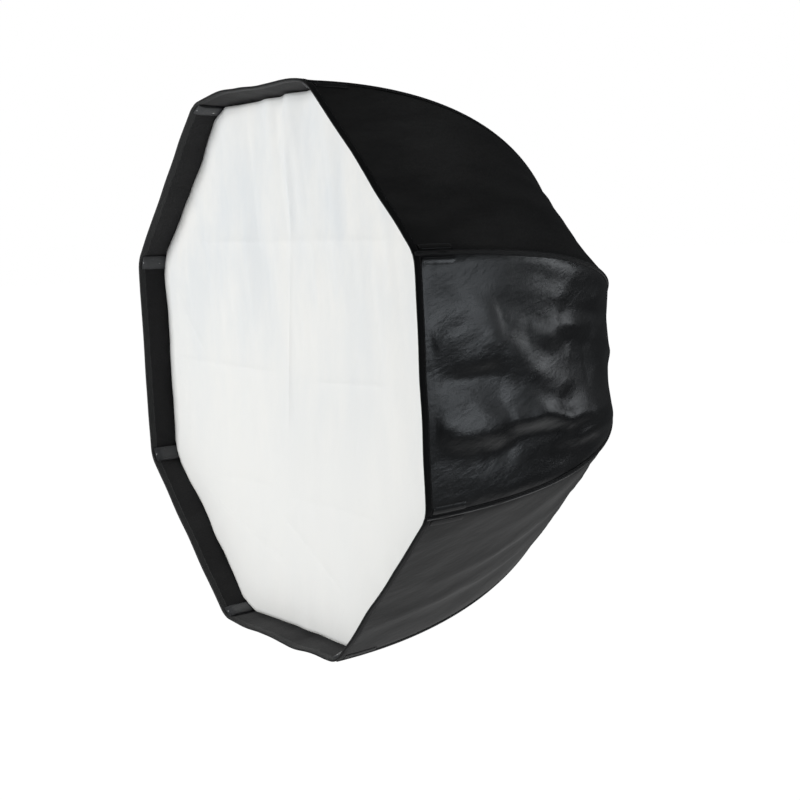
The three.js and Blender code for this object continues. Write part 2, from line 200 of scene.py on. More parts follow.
def sheet_mesh(name, outer, normals, uv, thick=CLOTH):
    """A closed thin sheet under a grid of points. Material 0 outside and on the edges, 1 inside."""
    rows, columns = outer.shape[:2]
    count = rows * columns
    inner = outer - normals * thick
    natural = np.cross(outer[1, 0] - outer[0, 0], outer[0, 1] - outer[0, 0])
    flip = float(natural @ normals[0, 0]) > 0
    face, back = grid_quads(rows, columns, 0, flip), grid_quads(rows, columns, count, not flip)
    index = np.arange(count).reshape(rows, columns)
    ring = np.concatenate([index[0, :-1], index[:-1, -1], index[-1, :0:-1], index[:0:-1, 0]])
    following = np.roll(ring, -1)
    wall = np.stack([ring, ring + count, following + count, following], 1)
    if flip:
        wall = wall[:, ::-1]
    faces = np.concatenate([face, back, wall])
    mesh = bpy.data.meshes.new(name)
    points = np.concatenate([outer.reshape(-1, 3), inner.reshape(-1, 3)])
    mesh.from_pydata(points.tolist(), [], faces.tolist())
    slots = np.zeros(len(faces), np.int32)
    slots[len(face):len(face) + len(back)] = 1
    mesh.polygons.foreach_set("material_index", slots)
    mesh.polygons.foreach_set("use_smooth", np.ones(len(faces), bool))
    layer = mesh.uv_layers.new(name="cloth")
    corners = faces.ravel() % count
    layer.data.foreach_set("uv", uv.reshape(-1, 2)[corners].astype(np.float32).ravel())
    shading = normals.reshape(-1, 3)[corners].reshape(-1, 4, 3).copy()
    shading[len(face):len(face) + len(back)] *= -1
    first, second, third = (points[wall[:, i]] for i in range(3))
    shading[len(face) + len(back):] = unit(np.cross(second - first, third - first))[:, None, :]
    mesh.normals_split_custom_set(shading.reshape(-1, 3).tolist())
    mesh.update()
    return mesh


def loft_mesh(sections, closed_run=False):
    """A closed solid through rings of points, capped at its ends unless the run itself is closed."""
    sections = np.asarray(sections, float)
    rings, count = sections.shape[:2]
    index = np.arange(rings * count).reshape(rings, count)
    here = index if closed_run else index[:-1]
    there = np.roll(index, -1, 0) if closed_run else index[1:]
    quads = np.stack([here, np.roll(here, -1, 1), np.roll(there, -1, 1), there], -1).reshape(-1, 4)
    faces = quads.tolist()
    if not closed_run:
        faces += [index[0, ::-1].tolist(), index[-1].tolist()]
    mesh = bpy.data.meshes.new("loft")
    mesh.from_pydata(sections.reshape(-1, 3).tolist(), [], faces)
    along = np.linalg.norm(np.diff(sections, axis=0), axis=-1).mean(1)
    around = np.linalg.norm(np.diff(sections[0], axis=0, append=sections[0][:1]), axis=-1)
    u = np.concatenate([[0], np.cumsum(along), [0]])[:rings]
    v = np.concatenate([[0], np.cumsum(around)])[:count]
    layer = mesh.uv_layers.new(name="cloth")
    corners = np.concatenate([np.array(face) for face in faces])
    uv = np.stack([u[corners // count], v[corners % count]], 1)
    layer.data.foreach_set("uv", uv.astype(np.float32).ravel())
    finish_mesh(mesh)
    return mesh


def finish_mesh(mesh, angle=40):
    """Faces outward, smooth but for the sharp edges."""
    work = bmesh.new()
    work.from_mesh(mesh)
    bmesh.ops.recalc_face_normals(work, faces=work.faces)
    limit = math.radians(angle)
    for edge in work.edges:
        edge.smooth = len(edge.link_faces) == 2 and edge.calc_face_angle(0) < limit
    for face in work.faces:
        face.smooth = True
    work.to_mesh(mesh)
    work.free()
    mesh.update()


def lathe_mesh(section, segments):
    """A ring from a closed section of (radius, depth), about the optical axis."""
    rings = []
    for i in range(segments):
        outward, _ = directions(2 * math.pi * i / segments)
        rings.append([outward * r + FORWARD * d for r, d in section])
    return loft_mesh(rings, closed_run=True)


def rounded(corners, radius, steps=3):
    """A closed outline with its corners rounded off."""
    points = []
    corners = [np.array(c, float) for c in corners]
    for before, corner, after in zip(corners[-1:] + corners[:-1], corners, corners[1:] + corners[:1]):
        to, fro = before - corner, after - corner
        cut = min(radius, 0.45 * np.linalg.norm(to), 0.45 * np.linalg.norm(fro))
        start, end = corner + unit(to) * cut, corner + unit(fro) * cut
        for i in range(steps + 1):
            u = i / steps
            points.append((1 - u) ** 2 * start + 2 * u * (1 - u) * corner + u * u * end)
    return points


def join_meshes(name, meshes):
    """One mesh from several, which keep the numbers of their material slots."""
    work = bmesh.new()
    for mesh in meshes:
        work.from_mesh(mesh)
    whole = bpy.data.meshes.new(name)
    work.to_mesh(whole)
    work.free()
    for mesh in meshes:
        bpy.data.meshes.remove(mesh)
    return whole


def stitches(path, normals, slot=1, pitch=3.6 * MM, length=2.7 * MM, width=0.55 * MM):
    """A row of thread stitches along a path, each a small lozenge half sunk in the cloth."""
    path, normals = np.asarray(path, float), np.asarray(normals, float)
    run = np.concatenate([[0], np.cumsum(np.linalg.norm(np.diff(path, axis=0), axis=1))])
    points, faces = [], []
    for start in np.arange(pitch / 2, run[-1] - length, pitch):
        ends = [np.array([np.interp(s, run, path[:, i]) for i in range(3)]) for s in (start, start + length)]
        up = unit(np.array([np.interp(start + length / 2, run, normals[:, i]) for i in range(3)]))
        along = ends[1] - ends[0]
        side = np.cross(up, unit(along)) * width / 2
        first = len(points)
        for share, swell in ((0.0, 0.35), (0.22, 1.0), (0.78, 1.0), (1.0, 0.35)):
            middle = ends[0] + along * share
            lift = up * width * (0.55 * swell - 0.1)
            sunk = up * width * 0.3
            points += [middle - side * swell - sunk, middle + lift, middle + side * swell - sunk]
        for ring in range(3):
            for i in range(3):
                a, b = first + ring * 3 + i, first + ring * 3 + (i + 1) % 3
                faces.append((a, b, b + 3, a + 3))
        faces += [(first + 2, first + 1, first), (first + 9, first + 10, first + 11)]
    mesh = bpy.data.meshes.new("stitches")
    mesh.from_pydata([tuple(p) for p in points], [], faces)
    mesh.uv_layers.new(name="cloth")
    finish_mesh(mesh, 70)
    mesh.polygons.foreach_set("material_index", np.full(len(mesh.polygons), slot, np.int32))
    return mesh


# ---- Node materials ----

WAVE_BAND = 0.314  # a wave texture's scale for bands one unit apart


class Nodes:
    """A short way to write a node material."""

    def __init__(self, name):
        self.material = bpy.data.materials.new(name)
        self.material.use_nodes = True
        self.tree = self.material.node_tree
        self.surface = self.tree.nodes["Principled BSDF"]

    def add(self, kind, inputs=None, **settings):
        node = self.tree.nodes.new(kind)
        for key, value in settings.items():
            setattr(node, key, value)
        for key, value in (inputs or {}).items():
            self.feed(node, key, value)
        return node

    def feed(self, node, key, value):
        if isinstance(value, bpy.types.NodeSocket):
            self.tree.links.new(value, node.inputs[key])
        else:
            node.inputs[key].default_value = value

    def set(self, **values):
        for key, value in values.items():
            self.feed(self.surface, key.replace("_", " "), value)

    def uv(self, scale=(1, 1, 1), turn=0.0):
        source = self.add("ShaderNodeUVMap", uv_map="cloth").outputs[0]
        turned = self.add("ShaderNodeMapping", {"Vector": source, "Rotation": (0, 0, turn)}).outputs[0]
        return self.add("ShaderNodeMapping", {"Vector": turned, "Scale": scale}).outputs[0]

    def place(self, scale=(1, 1, 1)):
        source = self.add("ShaderNodeTexCoord").outputs["Object"]
        return self.add("ShaderNodeMapping", {"Vector": source, "Scale": scale}).outputs[0]

    def noise(self, vector, detail, roughness=0.5):
        inputs = {"Vector": vector, "Scale": 1.0, "Detail": detail, "Roughness": roughness}
        return self.add("ShaderNodeTexNoise", inputs).outputs["Fac"]

    def math(self, operation, a, b=0.0):
        return self.add("ShaderNodeMath", {0: a, 1: b}, operation=operation).outputs[0]

    def blend(self, factor, a, b):
        node = self.add("ShaderNodeMix", data_type="RGBA")
        self.feed(node, 0, factor)
        self.feed(node, 6, a)
        self.feed(node, 7, b)
        return node.outputs[2]

    def span(self, value, low, high, to_low, to_high):
        return self.add("ShaderNodeMapRange", {0: value, 1: low, 2: high, 3: to_low, 4: to_high}).outputs[0]

    def bump(self, height, distance, strength=1.0, under=None):
        inputs = {"Height": height, "Distance": distance, "Strength": strength}
        if under is not None:
            inputs["Normal"] = under
        return self.add("ShaderNodeBump", inputs).outputs[0]

    def weave(self, pitch, turn=0.0):
        """Over-and-under threads at a pitch in metres."""
        frequency = WAVE_BAND / pitch
        inputs = {"Vector": self.uv(turn=turn), "Scale": frequency, "Distortion": 0.4, "Detail": 1.0}
        bands = [self.add("ShaderNodeTexWave", inputs, bands_direction=axis).outputs["Fac"] for axis in "XY"]
        return self.math("MULTIPLY", *bands)


def rgb(r, g, b):
    return (r, g, b, 1.0)


def shell_nylon(name, dark, light, rough, level, coat=0.0):
    """Coated nylon: faint cross weave, uneven gloss, long soft streaks and small crumples."""
    n = Nodes(name)
    cloud = n.noise(n.uv((9, 9, 1)), 4, 0.55)
    streak = n.noise(n.uv((5, 18, 1), 0.3), 4, 0.6)
    crumple = n.noise(n.uv((16, 34, 1), 0.35), 5, 0.62)
    n.set(Base_Color=n.blend(n.span(cloud, 0.3, 0.7, 0, 1), rgb(*dark), rgb(*light)))
    n.set(Roughness=n.span(streak, 0.3, 0.75, rough[0], rough[1]), Specular_IOR_Level=level)
    n.set(Coat_Weight=coat, Coat_Roughness=0.34)
    slub = n.noise(n.uv((330, 14, 1)), 2, 0.5)
    under = n.bump(slub, 0.12 * MM, 0.5, n.bump(crumple, 2.2 * MM, 0.6))
    n.set(Normal=n.bump(n.weave(0.7 * MM), 0.05 * MM, 0.25, under))
    return n.material


def silver_lining():
    """The reflective lining: bright, crumpled and slightly diffuse."""
    n = Nodes("silver_lining")
    crumple = n.noise(n.uv((40, 40, 1)), 5, 0.6)
    n.set(Base_Color=n.blend(crumple, rgb(0.55, 0.56, 0.58), rgb(0.72, 0.73, 0.74)), Metallic=0.75)
    n.set(Roughness=n.span(crumple, 0.3, 0.7, 0.3, 0.48), Normal=n.bump(crumple, 1.2 * MM, 0.5))
    return n.material


def woven_tape(name, dark, light, pitch, rough, turn=0.785, level=0.3):
    """Woven tape with a visible rib, for hems, seams and tabs."""
    n = Nodes(name)
    threads = n.weave(pitch, turn)
    wear = n.noise(n.uv((22, 60, 1)), 3, 0.6)
    colour = n.blend(n.span(wear, 0.35, 0.7, 0, 1), rgb(*dark), rgb(*light))
    n.set(Base_Color=n.blend(n.span(threads, 0, 1, 0, 0.4), colour, rgb(*light)))
    n.set(Roughness=n.span(wear, 0.3, 0.7, rough - 0.07, rough + 0.07), Specular_IOR_Level=level)
    n.set(Sheen_Weight=0.06, Sheen_Roughness=0.5)
    n.set(Normal=n.bump(threads, 0.16 * MM, 0.5, n.bump(wear, 0.6 * MM, 0.4)))
    return n.material


def loop_pile():
    """The soft side of hook-and-loop tape: a dull, fuzzy pile."""
    n = Nodes("loop_pile")
    pile = n.noise(n.uv((420, 420, 1)), 2, 0.7)
    tuft = n.noise(n.uv((90, 60, 1)), 4, 0.7)
    n.set(Base_Color=n.blend(pile, rgb(0.006, 0.006, 0.0065), rgb(0.020, 0.020, 0.021)), Roughness=0.95)
    n.set(Specular_IOR_Level=0.1, Sheen_Weight=0.1, Sheen_Roughness=0.6)
    n.set(Normal=n.bump(pile, 0.5 * MM, 0.8, n.bump(tuft, 1.0 * MM, 0.5)))
    return n.material


def white_cloth():
    """The front diffuser: thin white nylon, with painted cool shade in soft blotches that grows stronger
    toward the top.
    """
    n = Nodes("white_cloth")
    cloud = n.noise(n.uv((9, 3.4, 1), 0.1), 5, 0.6)
    fine = n.noise(n.uv((46, 15, 1), 0.08), 5, 0.62)
    place = n.add("ShaderNodeTexCoord").outputs["Object"]
    height = n.add("ShaderNodeSeparateXYZ", {"Vector": place}).outputs[2]
    # Painted shade: the cloud turns the white a cool grey in blotches, and more so toward the top.
    shaded = n.math("MULTIPLY", n.span(cloud, 0.38, 0.62, 0, 1), n.span(height, -0.15, 0.2, 0.15, 1))
    painted_shade = n.blend(shaded, rgb(0.87, 0.872, 0.85), rgb(0.775, 0.80, 0.81))
    n.set(Base_Color=painted_shade, Roughness=0.85, Specular_IOR_Level=0.2)
    under = n.bump(fine, 1.5 * MM, 0.45)
    n.set(Normal=n.bump(n.weave(0.6 * MM), 0.04 * MM, 0.3, under))
    return n.material


def sewing_thread(name, colour):
    n = Nodes(name)
    twist = n.noise(n.place((900, 900, 900)), 2)
    n.set(Base_Color=n.blend(twist, rgb(*[c * 0.7 for c in colour]), rgb(*colour)), Roughness=0.6)
    n.set(Normal=n.bump(twist, 0.1 * MM, 0.5))
    return n.material


def turned_metal(name, tone, rough):
    """Machined and anodised metal with fine turning marks round the axis and light handling marks."""
    n = Nodes(name)
    place = n.add("ShaderNodeTexCoord").outputs["Object"]
    parts = n.add("ShaderNodeSeparateXYZ", {"Vector": place})
    x, y, z = parts.outputs
    radius = n.math("SQRT", n.math("ADD", n.math("MULTIPLY", x, x), n.math("MULTIPLY", z, z)))
    groove = n.math("SINE", n.math("MULTIPLY", n.math("ADD", radius, y), 9000.0))
    mark = n.noise(n.place((60, 60, 60)), 5, 0.65)
    colour = n.blend(n.span(mark, 0.35, 0.7, 0, 1), rgb(*tone), rgb(*[c * 0.82 for c in tone]))
    n.set(Base_Color=colour, Metallic=1.0, Roughness=n.span(mark, 0.3, 0.75, rough - 0.06, rough + 0.12))
    n.set(Normal=n.bump(groove, 0.02 * MM, 0.3))
    return n.material


def drawn_steel(name, tone, rough):
    n = Nodes(name)
    mark = n.noise(n.place((35, 180, 35)), 5, 0.6)
    n.set(Base_Color=n.blend(mark, rgb(*tone), rgb(*[c * 0.75 for c in tone])), Metallic=1.0)
    n.set(Roughness=n.span(mark, 0.3, 0.7, rough - 0.05, rough + 0.12), Normal=n.bump(mark, 0.1 * MM, 0.3))
    return n.material


def moulded_plastic(name, tone, rough, grain):
    n = Nodes(name)
    pebble = n.noise(n.place((1400, 1400, 1400)), 2, 0.6)
    wear = n.noise(n.place((40, 40, 40)), 4, 0.6)
    worn = rgb(*[c * 1.5 + 0.004 for c in tone])
    n.set(Base_Color=n.blend(n.span(wear, 0.4, 0.75, 0, 1), rgb(*tone), worn))
    n.set(Roughness=n.span(wear, 0.3, 0.7, rough - 0.06, rough + 0.08), Normal=n.bump(pebble, grain, 0.4))
    return n.material


MATERIALS = {
    "nylon": shell_nylon(
        "black_nylon", (0.0040, 0.0043, 0.0046), (0.0070, 0.0073, 0.0073), (0.52, 0.66), 0.19),
    "gloss": shell_nylon(
        "gloss_nylon", (0.0018, 0.0023, 0.0030), (0.0034, 0.0042, 0.0054), (0.26, 0.36), 0.40, 0.10),
    "silver": silver_lining(),
    "binding": woven_tape("black_binding", (0.010, 0.0105, 0.011), (0.020, 0.0205, 0.021), 1.1 * MM, 0.66),
    "seam": woven_tape(
        "seam_tape", (0.0035, 0.0037, 0.0042), (0.0080, 0.0083, 0.0092), 1.1 * MM, 0.5, level=0.2),
    "edge": woven_tape(
        "edge_tape", (0.0025, 0.0027, 0.003), (0.0052, 0.0054, 0.006), 1.1 * MM, 0.7, level=0.1),
    "satin": woven_tape("satin_tab", (0.022, 0.023, 0.025), (0.042, 0.044, 0.048), 0.9 * MM, 0.42, 0.0, 0.4),
    "pile": loop_pile(),
    "white": white_cloth(),
    "white_hem": woven_tape("white_hem", (0.66, 0.67, 0.66), (0.80, 0.81, 0.80), 0.9 * MM, 0.8),
    "thread": sewing_thread("black_thread", (0.03, 0.03, 0.033)),
    "grey_thread": sewing_thread("grey_thread", (0.10, 0.10, 0.105)),
    "white_thread": sewing_thread("white_thread", (0.78, 0.78, 0.76)),
    "metal": turned_metal("anodised_ring", (0.62, 0.63, 0.64), 0.28),
    "steel": drawn_steel("bright_steel", (0.56, 0.57, 0.58), 0.3),
    "strip": drawn_steel("zinc_strip", (0.60, 0.61, 0.64), 0.34),
    "hub": moulded_plastic("black_moulding", (0.016, 0.0165, 0.018), 0.48, 0.12 * MM),
    "button": moulded_plastic("red_button", (0.30, 0.022, 0.018), 0.36, 0.05 * MM),
}


# ---- Camera, floor and light ----

CAMERA_AZIMUTH, CAMERA_ELEVATION, CAMERA_ROLL = (math.radians(v) for v in (55.545, 6.598, -2.732))
CAMERA_BACK, CAMERA_RIGHT, CAMERA_UP = 4.824, 0.467, -0.096  # in mouth radii, from the mouth's centre
FOCAL_SHARE = 1.7873  # focal length over the picture's width
FLOOR_SIZE, FLOOR_DROP = 60.0, -1.3
FLOOR_GLOW = (1.4, 3.6, 0.88, 0.0)  # the glow under the object fades out from 1.4 m to 3.6 m away
FLOOR_HIDDEN, FLOOR_WHITE = 0.97, 1.04  # how far the camera sees plain white instead, and how bright
ROOM_LIGHT = 0.07


def place_camera():
    a, e = CAMERA_AZIMUTH, CAMERA_ELEVATION
    back = Vector((math.sin(a) * math.cos(e), -math.cos(a) * math.cos(e), math.sin(e)))
    level = Vector((math.cos(a), math.sin(a), 0))
    right = level * math.cos(CAMERA_ROLL) + back.cross(level) * math.sin(CAMERA_ROLL)
    up = back.cross(right)
    data = bpy.data.cameras.new("camera")
    data.sensor_width = 36
    data.lens = FOCAL_SHARE * data.sensor_width
    camera = link("camera", data)
    offset = back * CAMERA_BACK + right * CAMERA_RIGHT + up * CAMERA_UP
    turn = Matrix((right, up, back)).transposed().to_4x4()
    camera.matrix_world = Matrix.Translation(Vector((0, -MOUTH_DEPTH, 0)) + offset * MOUTH_RADIUS) @ turn
    bpy.context.scene.camera = camera


def area_light(name, location, target, size, power, colour=(1, 1, 1)):
    data = bpy.data.lights.new(name, "AREA")
    data.shape = "RECTANGLE"
    data.size, data.size_y = size
    data.energy = power
    data.color = colour
    light = link(name, data)
    light.location = location
    light.rotation_euler = (Vector(target) - Vector(location)).to_track_quat("-Z", "Y").to_euler()


def place_floor():
    """White to the camera, and a soft pool of light from below for the cloth."""
    mesh = bpy.data.meshes.new("floor")
    corners = [(x * FLOOR_SIZE, y * FLOOR_SIZE, FLOOR_DROP) for x, y in ((-1, -1), (1, -1), (1, 1), (-1, 1))]
    mesh.from_pydata(corners, [], [(0, 1, 2, 3)])
    floor = link("floor", mesh)
    n = Nodes("pale_floor")
    place = n.add("ShaderNodeTexCoord").outputs["Object"]
    away = n.add("ShaderNodeVectorMath", {0: place}, operation="LENGTH").outputs["Value"]
    n.set(Base_Color=rgb(0.50, 0.50, 0.50), Roughness=0.9, Specular_IOR_Level=0.1)
    n.set(Emission_Color=rgb(1, 1, 1), Emission_Strength=n.span(away, *FLOOR_GLOW))
    seen = n.math("MULTIPLY", n.add("ShaderNodeLightPath").outputs["Is Camera Ray"], FLOOR_HIDDEN)
    white = n.add("ShaderNodeEmission", {"Strength": FLOOR_WHITE})
    both = n.add("ShaderNodeMixShader", {0: seen, 1: n.surface.outputs[0], 2: white.outputs[0]})
    n.tree.links.new(both.outputs[0], n.tree.nodes["Material Output"].inputs[0])
    mesh.materials.append(n.material)


def place_world():
    """White behind the object, and a much dimmer room for what the cloth reflects."""
    world = bpy.data.worlds.new("studio")
    bpy.context.scene.world = world
    world.use_nodes = True
    tree = world.node_tree
    lit, seen = tree.nodes["Background"], tree.nodes.new("ShaderNodeBackground")
    for node, colour, strength in ((lit, (0.94, 0.97, 1.0), ROOM_LIGHT), (seen, (1, 1, 1), 1.0)):
        node.inputs["Color"].default_value = rgb(*colour)
        node.inputs["Strength"].default_value = strength
    ray = tree.nodes.new("ShaderNodeLightPath")
    mix = tree.nodes.new("ShaderNodeMixShader")
    tree.links.new(ray.outputs["Is Camera Ray"], mix.inputs[0])
    tree.links.new(lit.outputs[0], mix.inputs[1])
    tree.links.new(seen.outputs[0], mix.inputs[2])
    tree.links.new(mix.outputs[0], tree.nodes["World Output"].inputs[0])
    bpy.context.scene.view_settings.view_transform = "Standard"


def place_lights():
    middle = (0, -0.3, 0)
    area_light("key", (-1.1, -3.5, 1.1), middle, (1.6, 1.6), 76)
    area_light("front_fill", (0.6, -3.4, -0.7), middle, (1.8, 1.2), 21)
    area_light("side_sheen", (2.9, 1.9, 0.1), (0.3, -0.25, 0), (0.7, 0.8), 10, (0.88, 0.94, 1.0))
    area_light("rear_sheen", (1.3, 3.1, 0.35), (0.3, -0.2, 0), (0.8, 0.9), 7, (0.92, 0.96, 1.0))
    area_light("top_back", (0.2, 1.8, 2.6), middle, (1.6, 1.2), 5)


# ---- The shell's surface ----

# Soft ridges in the two glossy side gores: start and end as (share of the way to the mouth, share of
# the way across), the height in mm and the width in mm.
SIDE_RIDGES = (
    ((0.34, 0.42), (0.72, 0.30), 3.4, 13),
    ((0.30, 0.66), (0.56, 0.60), 1.6, 10),
    ((0.50, -0.08), (0.80, -0.22), 2.4, 24),
    ((0.34, -0.60), (0.78, -0.34), 4.2, 12),
    ((0.30, -0.80), (0.66, -0.62), 2.6, 9),
    ((0.60, -0.44), (0.86, -0.62), -3.0, 14),
    ((0.80, 0.52), (0.97, 0.30), 2.6, 20),
    ((0.78, 0.06), (0.96, 0.00), -2.4, 12),
    ((0.80, -0.42), (0.97, -0.36), 3.0, 17),
    ((0.58, 0.10), (0.62, 0.48), -1.6, 16),
)

MOUTH_BULGE = {2: (8.0, 6.0), 6: (3.5, 6.0)}  # mm that a gore's front edge stands out, and its ripple


def ridge_height(along, across, half_width, start, end, height, width):
    """A ridge that fades at its ends. Distances are taken in metres on the gore."""
    length = SKIN_END - length_at(GORE_TS[0])
    point = np.array([along * length, across * half_width])
    scale = np.array([length, half_width])
    a, b = np.array(start) * scale, np.array(end) * scale
    run = (b - a) / np.linalg.norm(b - a)
    travelled = float((point - a) @ run) / np.linalg.norm(b - a)
    beside = float(np.cross(run, point - a)) / (width * MM)
    beside += 0.6 * noise.noise(Vector((along * 14, across * 3, height)))
    fade = max(0.0, 1 - (2 * travelled - 1) ** 2) ** 0.6
    return height * MM * fade * math.exp(-beside * beside)


def gore_height(panel, along, across, half_width, facing_up):
    """How far the cloth stands out from the flat gore. along is 0..1 to the mouth, across -1..1."""
    seed = panel * 7.3
    # It sags between the ribs, and more where it faces up.
    slack = (1 - across * across) * math.sin(math.pi * min(1.0, along * 1.02)) ** 0.7
    height = -(3.0 + 4.5 * facing_up) * MM * slack
    # Slanting streaks, wide swells and small crumples, over all but the sewn edges.
    body = slack ** 0.55
    x = across * half_width / 0.15
    turned = x + 0.9 * along * (1 if panel in (1, 3, 7) else -1)
    streak = noise.noise(Vector((along * 1.9 + seed, turned * 2.6, seed)))
    streak = 0.35 - abs(streak) * 1.6
    wide = noise.noise(Vector((along * 2.6 + seed, x * 1.6 + 4, seed * 0.5)))
    crumple = noise.noise(Vector((along * 15 + x * 2 + seed, x * 7 - along * 4, seed + 3)))
    height += ((4.2 if facing_up < 0 else 2.6) * streak + 2.6 * wide + 0.7 * crumple) * MM * body
    # The front edge bulges and ripples.
    at_mouth = math.exp(-(1 - along) * 9)
    bulge, ripple = MOUTH_BULGE.get(panel, (1.6, 2.4))
    height += bulge * MM * (1 - across ** 4) * at_mouth
    height += ripple * MM * noise.noise(Vector((x * 2.4 + seed, 2.0, seed))) * (1 - across ** 4) * at_mouth
    # The gathers round the hub, and the puckers beside the seams.
    near_hub = max(0.0, 1 - along * 3.2) ** 1.5
    height += 0.9 * MM * math.cos(across * 19 + seed) * near_hub * (1 - across * across)
    pucker = noise.noise(Vector((along * 46 + seed, across * 2, seed + 9)))
    pucker *= math.exp(-(1 - abs(across)) * 9)
    height += (2.2 if panel in GLOSSY_PANELS else 1.0) * MM * pucker * (1 - across * across)
    # The two side gores have ridges of their own, which are mirrored from one to the other.
    if panel in GLOSSY_PANELS:
        mirrored = across if panel == 8 else -across
        for start, end, size, width in SIDE_RIDGES:
            height += ridge_height(along, mirrored, half_width, start, end, size, width)
        cloud = noise.noise(Vector((along * 5.6 + seed, x * 1.9, seed + 5)))
        fine = noise.noise(Vector((along * 11 - x * 2 + seed, x * 6, seed + 6)))
        height += (5.0 * cloud + 1.3 * fine) * MM * body
    return height


def round_over_rib(points):
    """Lets the cloth turn over a rib in a curve. Points beside a rib move in toward the axis."""
    turn = np.arctan2(points[..., 2], points[..., 0]) - HALF
    nearest = HALF + np.round(turn / STEP) * STEP
    spoke = np.stack([np.cos(nearest), 0 * nearest, np.sin(nearest)], -1)
    beside = np.abs(points[..., 0] * np.sin(nearest) - points[..., 2] * np.cos(nearest))
    inset = TAN * np.maximum(0, ROUNDED - beside) ** 2 / (2 * ROUNDED)
    return points - spoke * inset[..., None]


def gore_facing(outward, normal):
    """Normals of a flat gore, from the bow's normals and the gore's own outward direction."""
    return unit(outward * normal[:, 1:] + FORWARD * normal[:, :1] * COS)


def gore_plane(panel, ts):
    """Middle line, sideways vector, half widths and normals of the flat gore at each t."""
    ts = np.atleast_1d(np.asarray(ts, float))
    outward, sideways = directions(panel * STEP)
    skin, normal = bow(ts, ROD_INSET)
    middle = outward * skin[:, 1:] * COS + FORWARD * skin[:, :1]
    return middle, sideways, skin[:, 1] * SIN, gore_facing(outward, normal)


def gore_points(panel, ts, across, lift=0.0):
    """A grid of points on the gore, rows by t and columns by the share across, lifted off the cloth."""
    ts, across = np.atleast_1d(ts), np.atleast_1d(across)
    middle, sideways, half, facing = gore_plane(panel, ts)
    span = SKIN_END - length_at(GORE_TS[0])
    along = (length_at(ts) - length_at(GORE_TS[0])) / span
    height = np.array([
        [gore_height(panel, float(a), float(w), float(h), float(f[2])) for w in across]
        for a, h, f in zip(along, half, facing)
    ])
    flat = middle[:, None] + sideways * (half[:, None] * across[None])[..., None]
    points = round_over_rib(flat + facing[:, None] * (height + lift)[..., None])
    return points, np.broadcast_to(facing[:, None], flat.shape)


def gore_uv(panel, ts, across):
    half = skin_at(ts)[:, 1] * SIN
    along = length_at(ts)[:, None] + 0 * np.asarray(across)[None]
    return np.stack([along + panel * 0.37, half[:, None] * np.asarray(across)[None] + panel * 0.53], -1)


def halves(panel):
    """The two halves of a gore: a name, the rib that it belongs to, and the sign of its side."""
    return (("a", panel, -1), ("b", panel % SIDES + 1, 1))


def follow_rib(piece, panel, rib, start, end):
    """Ties a piece of gore to its rib, with a mesh of its own."""
    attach(piece, f"rib_body_{rib}")
    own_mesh(piece)


def bend_at_hub(piece):
    """Keeps the rear piece of a half gore where it is, with its placement baked into its mesh."""
    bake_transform(piece)


def nylon(panel):
    return "gloss" if panel in GLOSSY_PANELS else "nylon"


def make_gore(panel):
    """Each piece has a flap that runs on under the next one, and covers the gap when the frame folds."""
    across = np.linspace(-1, 1, GORE_COLUMNS + 1)
    outer, facing = gore_points(panel, GORE_TS, across)
    normals = grid_normals(outer, facing)
    uv = gore_uv(panel, GORE_TS, across)
    middle = GORE_COLUMNS // 2
    for side, rib, sign in halves(panel):
        columns = slice(0, middle + 1 + FLAP_CELLS) if sign < 0 else slice(middle, None)
        rows = [(0, BLEND_ROW), *zip(CUTS[:-1], CUTS[1:])]
        for number, (low, high) in enumerate(rows):
            pick = (slice(low, high + 1 + FLAP_CELLS), columns)
            tucked = np.zeros(outer.shape[:2] + (1,))
            tucked[high + 1:] = FLAP_DROP
            if sign < 0:
                tucked[:, middle + 1:] = FLAP_DROP
            points = (outer - facing * tucked)[pick]
            name = f"shell_{panel}{side}_{number}"
            piece = collect(name, sheet_mesh(name, points, normals[pick], uv[pick]), nylon(panel), "silver")
            if number:
                follow_rib(piece, panel, rib, GORE_TS[low], GORE_TS[high])
            else:
                bend_at_hub(piece)
            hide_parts(f"shell_panel_{panel}")


# ---- Seams, hems, pockets and tabs ----

# Sections of tape as (distance from the rib or the edge, height over the cloth), in mm.
SEAM_HALF = ((4.0, 0.1), (3.7, 0.7), (2.2, 0.8), (1.2, 1.7))
SEAM_RIDGE = 2.5
SEAM_UNDER = (3.4, -0.5)
SEAM_STITCH = (2.9, 0.8)
SEAM_POINTS = 150
POCKET_SECTION = (
    (4.0, 0.1), (4.2, 0.9), (6.5, 1.3), (10.5, 1.2), (13.2, 0.8), (13.7, 0.1), (13.0, -0.4), (4.4, -0.4),
)
POCKET_STITCHES = ((5.6, 1.2), (12.2, 1.0))
POCKET_ACROSS = (5.6, 7.8, 10.0, 12.2)
POCKET_REACH = (9, 58)  # mm back from the mouth's edge
FINE_STITCH = {"pitch": 3.0 * MM, "length": 2.2 * MM}
SHORT_STITCH = {"pitch": 2.6 * MM, "length": 2.0 * MM}
HEM_SECTION = (
    (-8.2, -0.3), (-8.5, 0.2), (-8.0, 0.6), (-5.0, 0.75), (-1.6, 0.95), (-0.2, 0.8), (0.8, 0.1), (0.9, -1.2),
    (0.2, -2.5), (-1.6, -3.0), (-6.0, -2.9), (-9.2, -2.8), (-9.6, -2.2), (-9.2, -1.2),
)
HEM_STITCHES = ((6.6, 0.7), (7.5, -2.95))  # outside and inside: distance from the edge and height


